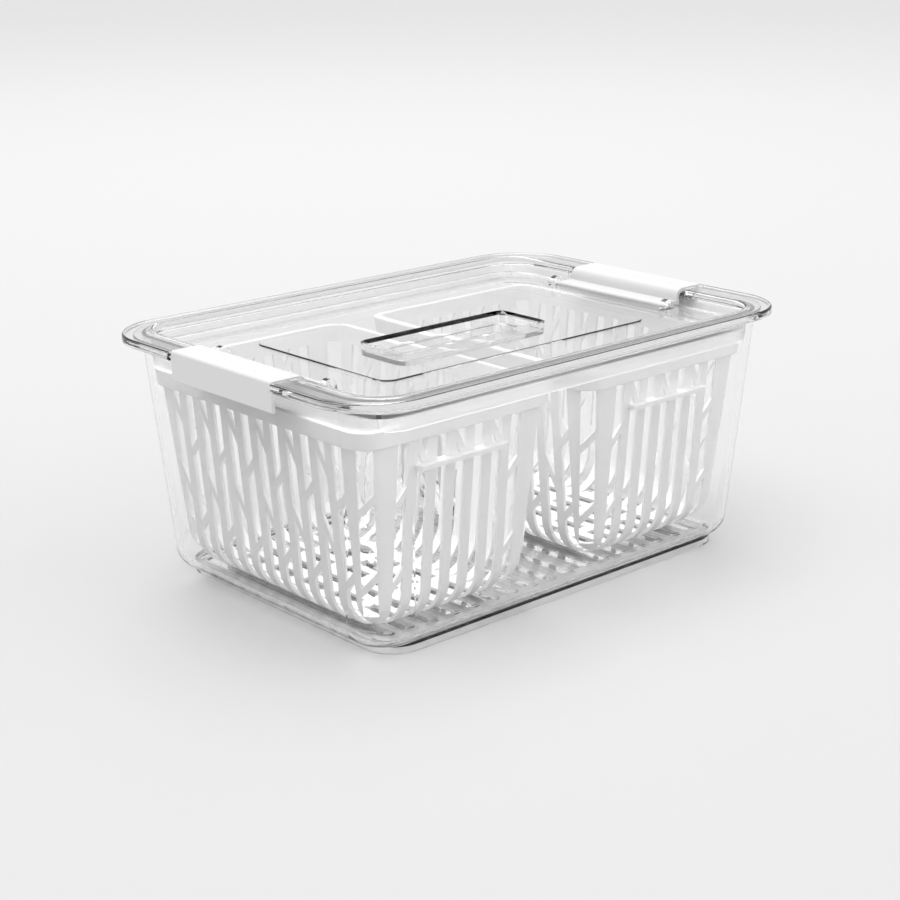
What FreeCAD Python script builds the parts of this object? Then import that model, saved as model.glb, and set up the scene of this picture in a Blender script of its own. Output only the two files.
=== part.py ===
import FreeCAD, Part
import os
from math import cos, radians, sin, tan

# Clear fridge bin with a latched lid and two drain baskets.
# Millimetres. +X runs along the bin, +Z is up, the origin is the middle of
# the footprint on the shelf. Every body is built in its closed position.

V = FreeCAD.Vector
Z = V(0, 0, 1)

# ---- overall sizes -------------------------------------------------------
length = 320.0            # lid flange, end to end
width = 226.0             # lid flange, side to side
height = 140.0            # shelf to the top of the lid flange

# ---- bin -----------------------------------------------------------------
wall = 2.4
draft = 4.15              # degrees, all moulded walls of bin and lid
bin_inset_x = 12.2        # wall inside the lid's edge, measured at the top
bin_inset_y = 7.4
bin_corner = 25.0
bin_edge = 14.0           # rounded lower edge
foot_height = 3.5
foot_wall = 3.0
foot_inset_x = 32.5
foot_inset_y = 22.0
foot_corner = 19.0
bin_floor = 2.6
rim_thick = 2.4
rim_step = 5.0            # rim stops this far inside the lid's edge
rib_pitch = 14.4
rib_radius = 6.5
rib_rise = 1.3            # flat top the baskets stand on
rib_crest = 0.25          # height of round crest removed by that flat
rib_margin = 14.5         # rib end to the inner wall

# ---- lid -----------------------------------------------------------------
lid_corner = 36.0
flange = 3.4
flange_edge = 1.2
lip_drop = 1.3            # flange turns down this far at its edge
lip_wall = 1.8
lid_seat_gap = 0.2        # lid flange to bin rim, all round
recess_inset_x = 20.4     # mouth of the tray in the lid
recess_inset_y = 11.8
recess_corner = 19.0
mouth_edge = 1.5
recess_depth = 9.1
panel_rise = 0.8
panel_inset_x = 63.0
panel_inset_y = 57.0
panel_corner = 8.0
lid_floor = 2.2
skirt_wall = 1.8
skirt_drop = 18.0         # lower edge of the plug below the flange top
plug_gap_x = 2.3          # plug to bin wall at the short ends
plug_gap_y = 0.5
well_length = 106.0
well_width = 37.0
well_corner = 5.0
well_depth = 7.7
well_floor = 2.0

# ---- latches -------------------------------------------------------------
latch_width = 86.0
latch_side_gap = 0.6
latch_sheet = 2.2
latch_proud = 0.6         # top above the lid's flange
latch_inset = 1.6         # outer face inside the flange's edge
latch_hang = 15.8
latch_bend = 1.4          # outer top edge
riser_bend = 5.0          # inner top edge
hinge_inset = 35.0        # pin axis inside the lid's end
barrel_r = 1.3
barrel_lift = 0.25        # barrel above the tray floor
trunnion_r = 1.0
pin_gap = 0.3
ear_r = 4.4
ear_thick = 3.5
ear_gap = 0.5
ear_pin_length = 3.0
sill_rise = 2.6           # lid wall left standing in the latch notch
riser_gap = 0.6
bead_gap = 0.4            # snap bead to the rim edge
notch_round = 5.0         # shoulder on the tray side
notch_edge = 1.0          # shoulder on the outer side

# ---- baskets -------------------------------------------------------------
basket_length = 131.0
basket_width = 184.0
basket_gap = 22.0
basket_sheet = 1.8
basket_draft = 4.9
basket_corner = 12.0
basket_edge = 20.0        # large round sweep from walls to floor
edge_steps = 7
basket_top_gap = 1.0      # rim to the lid's plug
band_height = 9.5
band_proud = 2.2
slot_width = 6.6
slot_pitch = 12.5
corner_slot = 8.0         # upright slot in each rounded corner
twig_thick = 3.6
twig_spacing = 43.0
forward_drop = 30.0       # first twig of each kind below the rim band
backward_drop = 9.0
forward_rise = 1.1        # rise of a twig per unit of width
backward_rise = 1.9
floor_slots = 5
floor_bar = 7.0
grip_length = 60.0
grip_drop = 23.0
grip_thick = 2.5
grip_reach = 4.5
grip_round = 2.0

# ---- derived sizes -------------------------------------------------------
slope = tan(radians(draft))
basket_slope = tan(radians(basket_draft))
half_x = length / 2
half_y = width / 2
flange_base = height - flange
rim_top = flange_base - lid_seat_gap
rim_base = rim_top - rim_thick
floor_top = foot_height + bin_floor
rib_top = floor_top + rib_rise
tray_floor = height - recess_depth
panel_top = tray_floor + panel_rise
plug_base = height - skirt_drop
hinge_x = half_x - hinge_inset
hinge_z = tray_floor + barrel_lift + barrel_r
latch_half = latch_width / 2
notch_half = latch_half + latch_side_gap
basket_base = rib_top
basket_top = plug_base - basket_top_gap


def ring(hx, hy, r, z):
    """Rounded rectangle outline, centred on the origin."""
    k = r * (1 - 0.5 ** 0.5)
    wire = []
    side = [((hx, r - hy), (hx, hy - r)), ((hx - r, hy), (r - hx, hy)),
            ((-hx, hy - r), (-hx, r - hy)), ((r - hx, -hy), (hx - r, -hy))]
    mid = [(hx - k, hy - k), (k - hx, hy - k), (k - hx, k - hy), (hx - k, k - hy)]
    for i in range(4):
        a, b = side[i]
        c = side[(i + 1) % 4][0]
        wire.append(Part.makeLine(V(a[0], a[1], z), V(b[0], b[1], z)))
        arc = Part.Arc(V(b[0], b[1], z), V(mid[i][0], mid[i][1], z), V(c[0], c[1], z))
        wire.append(arc.toShape())
    return Part.Wire(wire)


def slab(hx, hy, r, z0, z1):
    return Part.Face(ring(hx, hy, r, z0)).extrude(V(0, 0, z1 - z0))


def tub(hx, hy, r, z0, z1, lean):
    """Drafted block: hx by hy at z0, opening by lean per unit of height."""
    grow = (z1 - z0) * lean
    return Part.makeLoft([ring(hx, hy, r, z0), ring(hx + grow, hy + grow, r, z1)], True, True)


def edges_at(shape, z, test=None):
    """Edges lying wholly at one height, optionally filtered."""
    found = []
    for e in shape.Edges:
        b = e.BoundBox
        if abs(b.ZMin - z) < 1e-4 and abs(b.ZMax - z) < 1e-4 and (test is None or test(b)):
            found.append(e)
    return found


def block(x0, x1, y0, y1, z0, z1):
    return Part.makeBox(x1 - x0, y1 - y0, z1 - z0, V(x0, y0, z0))


def prism_xz(points, y0, y1):
    """Polygon in the XZ plane pulled from y0 to y1."""
    loop = [V(x, y0, z) for x, z in points]
    return Part.Face(Part.makePolygon(loop + loop[:1])).extrude(V(0, y1 - y0, 0))


def both_ends(shape):
    return [shape, shape.mirror(V(0, 0, 0), V(1, 0, 0))]


def bin_half(z):
    """Outer half sizes of the bin wall at height z."""
    lean = (height - z) * slope
    return half_x - bin_inset_x - lean, half_y - bin_inset_y - lean


def make_bin():
    hx, hy = bin_half(foot_height)
    outer = tub(hx, hy, bin_corner, foot_height, rim_base + rim_thick / 2, slope)
    outer = outer.makeFillet(bin_edge, edges_at(outer, foot_height))
    ix, iy = bin_half(floor_top)
    inner = tub(ix - wall, iy - wall, bin_corner - wall, floor_top, rim_top + 1, slope)
    inner = inner.makeFillet(bin_edge - wall, edges_at(inner, floor_top))
    rim = slab(half_x - rim_step, half_y - rim_step, lid_corner - rim_step / 2, rim_base, rim_top)
    rim = rim.makeFillet(rim_thick * 0.3, edges_at(rim, rim_base) + edges_at(rim, rim_top))
    fx, fy = half_x - foot_inset_x, half_y - foot_inset_y
    foot = slab(fx, fy, foot_corner, 0, foot_height + bin_edge * 0.3)
    foot = foot.makeFillet(0.8, edges_at(foot, 0))
    foot = foot.cut(slab(fx - foot_wall, fy - foot_wall, foot_corner - foot_wall, -1, foot_height))
    body = outer.fuse([rim, foot]).cut(inner)
    reach = iy - rib_margin - rib_radius
    count = int((ix - wall - bin_edge) / rib_pitch)
    core_z = rib_top + rib_crest - rib_radius
    ribs = []
    for i in range(-count, count + 1):
        x = i * rib_pitch
        ribs.append(Part.makeCylinder(rib_radius, 2 * reach, V(x, -reach, core_z), V(0, 1, 0)))
        for y in (-reach, reach):
            ribs.append(Part.makeSphere(rib_radius, V(x, y, core_z)))
    keep = block(-ix, ix, -iy, iy, floor_top - bin_floor * 0.3, rib_top)
    ribs = ribs[0].fuse(ribs[1:]).common(keep)
    return body.fuse(ribs).removeSplitter()


def make_lid():
    lip_base = flange_base - lip_drop
    plate = slab(half_x, half_y, lid_corner, lip_base, height)
    plate = plate.makeFillet(flange_edge, edges_at(plate, lip_base) + edges_at(plate, height))
    plate = plate.cut(slab(half_x - lip_wall, half_y - lip_wall, lid_corner - lip_wall,
                           lip_base - 1, flange_base))
    bx, by = bin_half(plug_base)
    px, py = bx - wall - plug_gap_x, by - wall - plug_gap_y
    plug_r = bin_corner - wall - plug_gap_y
    plug = tub(px, py, plug_r, plug_base, flange_base + flange / 2, slope)
    lean = recess_depth * slope
    tray = tub(half_x - recess_inset_x - lean, half_y - recess_inset_y - lean,
               recess_corner, tray_floor, height + 1, slope)
    under = tub(px - skirt_wall, py - skirt_wall, plug_r - skirt_wall, plug_base - 1,
                tray_floor - lid_floor, slope)
    lid = plate.fuse(plug).cut(tray)
    mouth_x = half_x - recess_inset_x + 1
    mouth = edges_at(lid, height, lambda b: max(abs(b.XMin), abs(b.XMax)) < mouth_x + 0.5
                     and max(abs(b.YMin), abs(b.YMax)) < half_y - recess_inset_y + 1)
    lid = lid.makeFillet(mouth_edge, mouth).cut(under)
    panel = slab(half_x - panel_inset_x, half_y - panel_inset_y, panel_corner,
                 tray_floor - 0.5, panel_top)
    panel = panel.makeFillet(panel_rise * 0.5, edges_at(panel, panel_top))
    # finger well in the middle of the panel, its floor level with the plug
    wx, wy = well_length / 2, well_width / 2
    well_base = panel_top - well_depth
    lean = well_depth * slope
    hole = tub(wx - lean, wy - lean, well_corner, well_base, panel_top + 1, slope)
    hole = hole.makeFillet(1.5, edges_at(hole, well_base))
    cup_z = well_base - well_floor
    lean = (panel_top - cup_z) * slope
    cup = tub(wx + skirt_wall - lean, wy + skirt_wall - lean, well_corner + skirt_wall,
              cup_z, tray_floor - 0.2, slope)
    lid = lid.fuse([panel, cup]).cut(hole)
    # notches for the latches, with rounded shoulders
    x0 = half_x - recess_inset_x - lean - 1.5
    sill = tray_floor + sill_rise
    cut = block(x0, half_x + 1, -notch_half, notch_half, sill, height + 1)
    parts = []
    for s in (-1, 1):
        y = s * notch_half
        corner_x = half_x - recess_inset_x
        for end_x, side, r in ((corner_x, -1, notch_round), (half_x, 1, notch_edge)):
            cx = end_x - side * r
            fill = block(min(cx, cx + side * r), max(cx, cx + side * r),
                         min(y, y + s * r), max(y, y + s * r), sill, height + 1)
            round_post = Part.makeCylinder(r, height, V(cx, y + s * r, 0))
            parts.append(fill.cut(round_post))
        beside = y + s * notch_round
        parts.append(block(x0, corner_x, min(y, beside), max(y, beside), sill, height + 1))
    notch = cut.fuse(parts)
    # round ears that hold the latch trunnions
    ears = []
    for s in (-1, 1):
        y0 = s * (latch_half + ear_gap)
        y1 = y0 + s * ear_thick
        low, high = min(y0, y1), max(y0, y1)
        disc = Part.makeCylinder(ear_r, high - low, V(hinge_x, low, hinge_z), V(0, 1, 0))
        post = block(hinge_x - ear_r, hinge_x + ear_r, low, high, tray_floor - 0.5, hinge_z)
        bore = Part.makeCylinder(trunnion_r + pin_gap, high - low + 2,
                                 V(hinge_x, low - 1, hinge_z), V(0, 1, 0))
        foot = block(hinge_x - ear_r - 1, hinge_x + ear_r + 1, low - 1, high + 1,
                     tray_floor - 9, tray_floor - 0.5)
        ears.append(disc.fuse(post).cut(foot).cut(bore))
    for piece in both_ends(notch):
        lid = lid.cut(piece)
    for ear in ears:
        lid = lid.fuse(both_ends(ear))
    return lid.removeSplitter()


def make_latch():
    """Latch of the +X end, in its closed position."""
    t = latch_sheet
    top = height + latch_proud
    face = half_x - latch_inset
    riser = half_x - recess_inset_x - sill_rise * slope - riser_gap - 0.3
    foot = hinge_z - t / 2
    bead_x = half_x - rim_step + bead_gap
    bead_top = rim_base - bead_gap
    low = top - latch_hang
    inside = face - t
    outline = [(hinge_x, foot), (riser, foot), (riser, top - t), (inside, top - t),
               (inside, bead_top), (bead_x, bead_top - 0.5), (bead_x, bead_top - 1.5),
               (inside, bead_top - 3), (inside, low), (face, low), (face, top), (riser - t, top),
               (riser - t, foot + t), (hinge_x, foot + t)]
    body = prism_xz(outline, -latch_half, latch_half)
    def long_edge(x, z):
        return [e for e in body.Edges if e.BoundBox.YLength > latch_width - 1
                and abs(e.BoundBox.Center.x - x) < 0.1 and abs(e.BoundBox.Center.z - z) < 0.1]
    body = body.makeFillet(riser_bend - t, long_edge(riser, top - t))
    body = body.makeFillet(riser_bend, long_edge(riser - t, top))
    body = body.makeFillet(latch_bend, long_edge(face, top))
    body = body.makeFillet(t * 0.3, long_edge(face, low) + long_edge(inside, low))
    barrel = Part.makeCylinder(barrel_r, latch_width, V(hinge_x, -latch_half, hinge_z), V(0, 1, 0))
    reach = latch_half + ear_gap + ear_pin_length
    pin = Part.makeCylinder(trunnion_r, 2 * reach, V(hinge_x, -reach, hinge_z), V(0, 1, 0))
    return body.fuse([barrel, pin]).removeSplitter()


def slot_parts(middle, width, low, high, drops, rise):
    """One upright slot, broken by slanting twigs, as (side, height) polygons."""
    shapes = []
    w = width / 2
    half_bar = twig_thick / 2 * (1 + rise * rise) ** 0.5
    top, top_lean = high, 0.0
    for drop in drops + [None]:
        last = drop is None or high - drop - abs(rise) * w < low + twig_thick
        end, end_lean = (low, 0.0) if last else (high - drop + half_bar, rise)
        corners = [(middle - w, end - end_lean * w), (middle + w, end + end_lean * w),
                   (middle + w, min(high, top + top_lean * w)),
                   (middle - w, min(high, top - top_lean * w))]
        if corners[2][1] - corners[1][1] > 0.5 and corners[3][1] - corners[0][1] > 0.5:
            shapes.append(corners)
        elif corners[2][1] - corners[1][1] > 0.5:
            shapes.append(corners[:3])
        elif corners[3][1] - corners[0][1] > 0.5:
            shapes.append([corners[0], corners[2], corners[3]])
        if last:
            break
        top, top_lean = high - drop - half_bar, rise
    return shapes


def twigs(kind):
    """Drops of the twigs below the top of a slot, and their rise."""
    first, rise = (forward_drop, forward_rise) if kind else (backward_drop, -backward_rise)
    count = int((basket_top - basket_base) / twig_spacing) + 1
    return [first + i * twig_spacing for i in range(count)], rise


def pulled(poly, near, far, turn):
    """Polygon given as (side, height), pulled outwards and turned about Z."""
    loop = [V(near, s, z) for s, z in poly]
    shape = Part.Face(Part.makePolygon(loop + loop[:1])).extrude(V(far - near, 0, 0))
    shape.rotate(V(0, 0, 0), Z, turn)
    return shape


def bowl(hx, hy, r, base, top, edge):
    """Drafted tub whose lower edge sweeps in with radius edge, sized at its top."""
    def inset(z):
        return (top - z) * basket_slope
    wires = []
    for i in range(edge_steps + 1):
        a = radians(90 * i / edge_steps)
        z = base + edge * (1 - cos(a))
        turn_in = inset(z) + edge * (1 - sin(a))
        wires.append(ring(hx - turn_in, hy - turn_in, r, z))
    wires.append(ring(hx, hy, r, top))
    return Part.makeLoft(wires, True, True)


def make_basket():
    """Lattice basket centred on the origin in plan."""
    rise = basket_top - basket_base
    top_x = basket_length / 2 - band_proud
    top_y = basket_width / 2 - band_proud
    t = basket_sheet
    r = basket_corner
    outer = bowl(top_x, top_y, r, basket_base, basket_top, basket_edge)
    grow = basket_slope
    inner = bowl(top_x - t + grow, top_y - t + grow, r - t, basket_base + t, basket_top + 1,
                 basket_edge - t)
    band_z = basket_top - band_height
    band_lean = band_height * basket_slope
    band = tub(basket_length / 2 - band_lean, basket_width / 2 - band_lean, r + 1,
               band_z, basket_top, basket_slope)
    band = band.makeFillet(0.7, edges_at(band, basket_top) + edges_at(band, band_z))
    band = band.cut(inner)
    shell = outer.cut(inner)
    low_x, low_y = top_x - rise * basket_slope, top_y - rise * basket_slope
    low = basket_base + 1.0
    high = band_z - 0.5
    slots = []
    # twig lattice on the two walls facing +-X
    count = int((low_y - r * 0.35 - slot_width / 2) / slot_pitch + 0.5)
    for i in range(-count, count):
        drops, lean = twigs(i % 2)
        for poly in slot_parts((i + 0.5) * slot_pitch, slot_width, low, high, drops, lean):
            slots += [pulled(poly, low_x - basket_edge, top_x + 5, a) for a in (0, 180)]
    # plain slots on the two grip walls, with twigs beside the corners only
    count = int((low_x - r * 0.35 - slot_width / 2) / slot_pitch)
    for i in range(-count, count + 1):
        drops, lean = twigs(i % 2)
        if abs(i) < count:
            drops = [] if i % 2 else drops[:1]
        for poly in slot_parts(i * slot_pitch, slot_width, low, high, drops, lean):
            slots += [pulled(poly, low_y - basket_edge, top_y + 5, a) for a in (90, 270)]
    # one slot in each rounded corner
    cx, cy = top_x - r, top_y - r
    drops, lean = twigs(1)
    near = -1.6 * r - rise * basket_slope
    for sx in (-1, 1):
        for sy in (-1, 1):
            angle = {(1, 1): 45, (-1, 1): 135, (-1, -1): 225, (1, -1): 315}[(sx, sy)]
            for poly in slot_parts(0, corner_slot, low + basket_edge * 0.55, high, drops, lean):
                shape = pulled(poly, near, r + 5, angle)
                shape.translate(V(sx * cx, sy * cy, 0))
                slots.append(shape)
    count = int((low_x - basket_edge) / slot_pitch)
    run = 2 * (low_y - basket_edge + 3)
    step = (run + floor_bar) / floor_slots
    for i in range(-count, count + 1):
        for j in range(floor_slots):
            y0 = -run / 2 + j * step
            x0 = i * slot_pitch - slot_width / 2
            slots.append(block(x0, x0 + slot_width, y0, y0 + step - floor_bar,
                               basket_base - 1, basket_base + t + 1))
    shell = shell.cut(Part.makeCompound(slots))
    grip_z = basket_top - grip_drop
    wall_y = top_y - grip_drop * basket_slope
    reach = (grip_reach + basket_sheet) / 2
    grip = slab(grip_length / 2, reach, grip_round, grip_z - grip_thick, grip_z)
    grips = []
    for s in (-1, 1):
        one = grip.copy()
        one.translate(V(0, s * (wall_y + grip_reach - reach), 0))
        grips.append(one)
    return shell.fuse([band] + grips).removeSplitter()


def moved(shape, x, turn=0):
    out = shape.copy()
    if turn:
        out.rotate(V(0, 0, 0), Z, turn)
    out.translate(V(x, 0, 0))
    return out


os.makedirs("parts", exist_ok=True)
latch = make_latch()
basket = make_basket()
shift = (basket_length + basket_gap) / 2
bodies = {
    "bin": make_bin(),
    "lid": make_lid(),
    "latch_left": moved(latch, 0, 180),
    "latch_right": latch,
    "basket_left": moved(basket, -shift),
    "basket_right": moved(basket, shift),
}
for name, shape in bodies.items():
    print(name, shape.ShapeType, len(shape.Solids), shape.isValid(),
          round(shape.Volume), shape.BoundBox)
    shape.exportStep("parts/" + name + ".step")
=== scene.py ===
import bpy, bmesh, math
from mathutils import Matrix, Vector


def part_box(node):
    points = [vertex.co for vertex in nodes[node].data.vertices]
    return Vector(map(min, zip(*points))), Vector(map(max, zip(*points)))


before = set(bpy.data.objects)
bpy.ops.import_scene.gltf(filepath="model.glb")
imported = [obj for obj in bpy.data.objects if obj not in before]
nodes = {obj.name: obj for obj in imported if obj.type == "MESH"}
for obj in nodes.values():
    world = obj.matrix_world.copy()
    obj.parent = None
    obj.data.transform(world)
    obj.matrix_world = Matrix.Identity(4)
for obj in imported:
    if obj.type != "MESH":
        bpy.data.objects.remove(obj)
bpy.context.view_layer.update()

scene = bpy.context.scene


# ---- helpers ---------------------------------------------------------------
def tint(code):
    """sRGB hex to linear RGBA."""
    out = []
    for i in (0, 2, 4):
        c = int(code[i:i + 2], 16) / 255
        out.append(c / 12.92 if c <= 0.04045 else ((c + 0.055) / 1.055) ** 2.4)
    return (*out, 1.0)


def node(tree, kind, inputs=None, **settings):
    """Adds one shader node, sets its properties, then its inputs: a socket is linked, a value is stored."""
    made = tree.nodes.new(kind)
    for name, value in settings.items():
        setattr(made, name, value)
    for name, value in (inputs or {}).items():
        if isinstance(value, bpy.types.NodeSocket):
            tree.links.new(value, made.inputs[name])
        else:
            made.inputs[name].default_value = value
    return made


def fresh(name):
    """A material with an empty node tree."""
    mat = bpy.data.materials.new(name)
    mat.use_nodes = True
    mat.node_tree.nodes.clear()
    return mat, mat.node_tree


# ---- finishes ----------------------------------------------------------------
plastic_ior = {"PET": 1.5, "PP": 1.49}
polished = 0.015          # roughness of the polished tool faces
satin = 0.45              # roughness of the etched ones
cloud_mm = 45             # size of the patches where the sheen drifts
glow_depth = 0.005        # how far light travels in the white walls, m


def clear_plastic(name, flow_mm, flow_depth, satin_band=None):
    """Clear moulded PET: polished, with the faint waviness of melt flow.

    That gives the eye sharp edges, thin bright rims and slightly swimming reflections.
    satin_band = (half length, half width, height): outside that rectangle and
    below that height the tool was left satin, as on the lid's plug.
    """
    mat, tree = fresh(name)
    place = node(tree, "ShaderNodeTexCoord")
    # melt flow lines are centimetres long and only microns deep
    flow = node(tree, "ShaderNodeTexNoise", {
        "Vector": place.outputs["Object"], "Scale": 1000 / flow_mm, "Detail": 1.0, "Roughness": 0.4})
    wave = node(tree, "ShaderNodeBump", {
        "Height": flow.outputs["Fac"], "Strength": 0.25, "Distance": flow_depth})
    glassy = node(tree, "ShaderNodeBsdfPrincipled", {
        "Base Color": tint("FFFFFF"), "Roughness": polished, "IOR": plastic_ior["PET"],
        "Transmission Weight": 1.0, "Normal": wave.outputs["Normal"]})
    if satin_band:
        tree.links.new(satin_mask(tree, place, satin_band), glassy.inputs["Roughness"])
    open_way = node(tree, "ShaderNodeBsdfTransparent", {"Color": tint("FFFFFF")})
    path = node(tree, "ShaderNodeLightPath")
    mix = node(tree, "ShaderNodeMixShader", {0: path.outputs["Is Shadow Ray"]})
    tree.links.new(glassy.outputs[0], mix.inputs[1])
    tree.links.new(open_way.outputs[0], mix.inputs[2])
    out = node(tree, "ShaderNodeOutputMaterial")
    tree.links.new(mix.outputs[0], out.inputs["Surface"])
    return mat


def satin_mask(tree, place, band):
    """Roughness: satin low down on the outside of the plug, polished elsewhere."""
    half_x, half_y, top = band
    axes = node(tree, "ShaderNodeSeparateXYZ", {"Vector": place.outputs["Object"]})
    sides = []
    for axis, half in (("X", half_x), ("Y", half_y)):
        away = node(tree, "ShaderNodeMath", {0: axes.outputs[axis]}, operation="ABSOLUTE")
        sides.append(node(tree, "ShaderNodeMath", {0: away.outputs[0], 1: half},
                          operation="GREATER_THAN"))
    either = node(tree, "ShaderNodeMath", {0: sides[0].outputs[0], 1: sides[1].outputs[0]},
                  operation="MAXIMUM")
    low = node(tree, "ShaderNodeMath", {0: axes.outputs["Z"], 1: top}, operation="LESS_THAN")
    both = node(tree, "ShaderNodeMath", {0: either.outputs[0], 1: low.outputs[0]},
                operation="MULTIPLY")
    rough = node(tree, "ShaderNodeMapRange", {
        "Value": both.outputs[0], "To Min": polished, "To Max": satin})
    return rough.outputs["Result"]


def white_plastic(name, tone, rough_low, rough_high, grain_mm, grain_depth, glow):
    """Moulded white polypropylene: slightly waxy, with spark-eroded grain.

    That gives the eye a soft even white with a broad, broken highlight.
    The real grain is about 0.1 mm; it is drawn coarser so that it shows.
    """
    mat, tree = fresh(name)
    place = node(tree, "ShaderNodeTexCoord")
    grain = node(tree, "ShaderNodeTexNoise", {
        "Vector": place.outputs["Object"], "Scale": 1000 / grain_mm, "Detail": 2.0})
    cloud = node(tree, "ShaderNodeTexNoise", {
        "Vector": place.outputs["Object"], "Scale": 1000 / cloud_mm, "Detail": 2.0})
    rough = node(tree, "ShaderNodeMapRange", {
        "Value": cloud.outputs["Fac"], "To Min": rough_low, "To Max": rough_high})
    bump = node(tree, "ShaderNodeBump", {
        "Height": grain.outputs["Fac"], "Strength": 0.4, "Distance": grain_depth})
    shade = node(tree, "ShaderNodeBsdfPrincipled", {
        "Base Color": tint(tone), "Roughness": rough.outputs["Result"],
        "IOR": plastic_ior["PP"], "Subsurface Weight": glow, "Subsurface Radius": [glow_depth] * 3,
        "Normal": bump.outputs["Normal"]})
    out = node(tree, "ShaderNodeOutputMaterial")
    tree.links.new(shade.outputs[0], out.inputs["Surface"])
    return mat


# satin lies beyond these lines, measured in from the flange's edge, and this far up the plug
satin_inset_x = 0.024
satin_inset_y = 0.016
satin_height = 0.0125
lid_low, lid_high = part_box("lid")
plug_band = (lid_high[0] - satin_inset_x, lid_high[1] - satin_inset_y, lid_low[2] + satin_height)

pet_bin = clear_plastic("clear moulded PET, bin", flow_mm=55, flow_depth=0.0004)
pet_lid = clear_plastic("clear moulded PET, lid", flow_mm=40, flow_depth=0.0003, satin_band=plug_band)
pp_latch = white_plastic("white satin PP, latch", "DEDEDE", rough_low=0.38, rough_high=0.5,
                         grain_mm=0.8, grain_depth=0.00004, glow=0.0)
pp_basket = white_plastic("white PP, basket", "FCFCFC", rough_low=0.3, rough_high=0.42,
                          grain_mm=0.9, grain_depth=0.00003, glow=0.6)

for name, mat in (("bin", pet_bin), ("lid", pet_lid), ("latch_left", pp_latch),
                  ("latch_right", pp_latch), ("basket_left", pp_basket), ("basket_right", pp_basket)):
    obj = nodes[name]
    obj.data.materials.clear()
    obj.data.materials.append(mat)


# ---- floor, light, camera -----------------------------------------------------
def plain(name, tone, rough):
    """One flat colour, for the floor."""
    mat, tree = fresh(name)
    shade = node(tree, "ShaderNodeBsdfPrincipled", {"Base Color": tint(tone), "Roughness": rough})
    out = node(tree, "ShaderNodeOutputMaterial")
    tree.links.new(shade.outputs[0], out.inputs["Surface"])
    return mat


def flat_floor(half):
    """A wide pale sheet, flat all the way; half is half its side."""
    bm = bmesh.new()
    corners = [bm.verts.new((x * half, y * half, 0)) for x, y in ((-1, -1), (1, -1), (1, 1), (-1, 1))]
    bm.faces.new(corners)
    mesh = bpy.data.meshes.new("floor")
    bm.to_mesh(mesh)
    bm.free()
    obj = bpy.data.objects.new("floor", mesh)
    scene.collection.objects.link(obj)
    mesh.materials.append(plain("white paper", "CFCFCF", 0.9))


def softbox(name, at, aim, size, power):
    """Rectangular lamp at one place, turned to face another."""
    lamp = bpy.data.lights.new(name, "AREA")
    lamp.shape = "RECTANGLE"
    lamp.size, lamp.size_y = size
    lamp.energy = power
    obj = bpy.data.objects.new(name, lamp)
    obj.location = at
    obj.rotation_euler = (Vector(aim) - Vector(at)).to_track_quat("-Z", "Y").to_euler()
    scene.collection.objects.link(obj)


def wide_sun(name, to_light, spread, strength):
    """Even light over the whole floor; spread softens its shadows."""
    lamp = bpy.data.lights.new(name, "SUN")
    lamp.angle = math.radians(spread)
    lamp.energy = strength
    obj = bpy.data.objects.new(name, lamp)
    obj.rotation_euler = Vector(to_light).to_track_quat("Z", "Y").to_euler()
    scene.collection.objects.link(obj)


flat_floor(9)
world = bpy.data.worlds.new("pale studio")
world.use_nodes = True
world.node_tree.nodes["Background"].inputs["Color"].default_value = tint("F6F6F6")
world.node_tree.nodes["Background"].inputs["Strength"].default_value = 0.78
scene.world = world
wide_sun("overhead bank", to_light=(-0.22, 0.1, 1.0), spread=60, strength=1.35)
wide_sun("front fill", to_light=(0.45, -0.75, 0.5), spread=70, strength=0.55)
softbox("back softbox", at=(0.9, 1.3, 2.4), aim=(0.4, 0.5, 0), size=(1.6, 1.6), power=18)

# a long lens, so that the bin's edges converge only a little
camera = bpy.data.cameras.new("camera")
camera.sensor_width = 36
camera.lens = 73.566
camera.clip_start = 0.05
view = bpy.data.objects.new("camera", camera)
# its three axes and its place
right = Vector((0.7438, -0.6683, -0.0101))
up = Vector((0.2086, 0.2177, 0.9534))
back = Vector((-0.6350, -0.7113, 0.3014))
camera_at = (-0.66439, -0.73946, 0.37623)
turned = Matrix((right, up, back)).transposed().to_4x4()
view.matrix_world = Matrix.Translation(camera_at) @ turned
scene.collection.objects.link(view)
scene.camera = view

scene.view_settings.view_transform = "Standard"
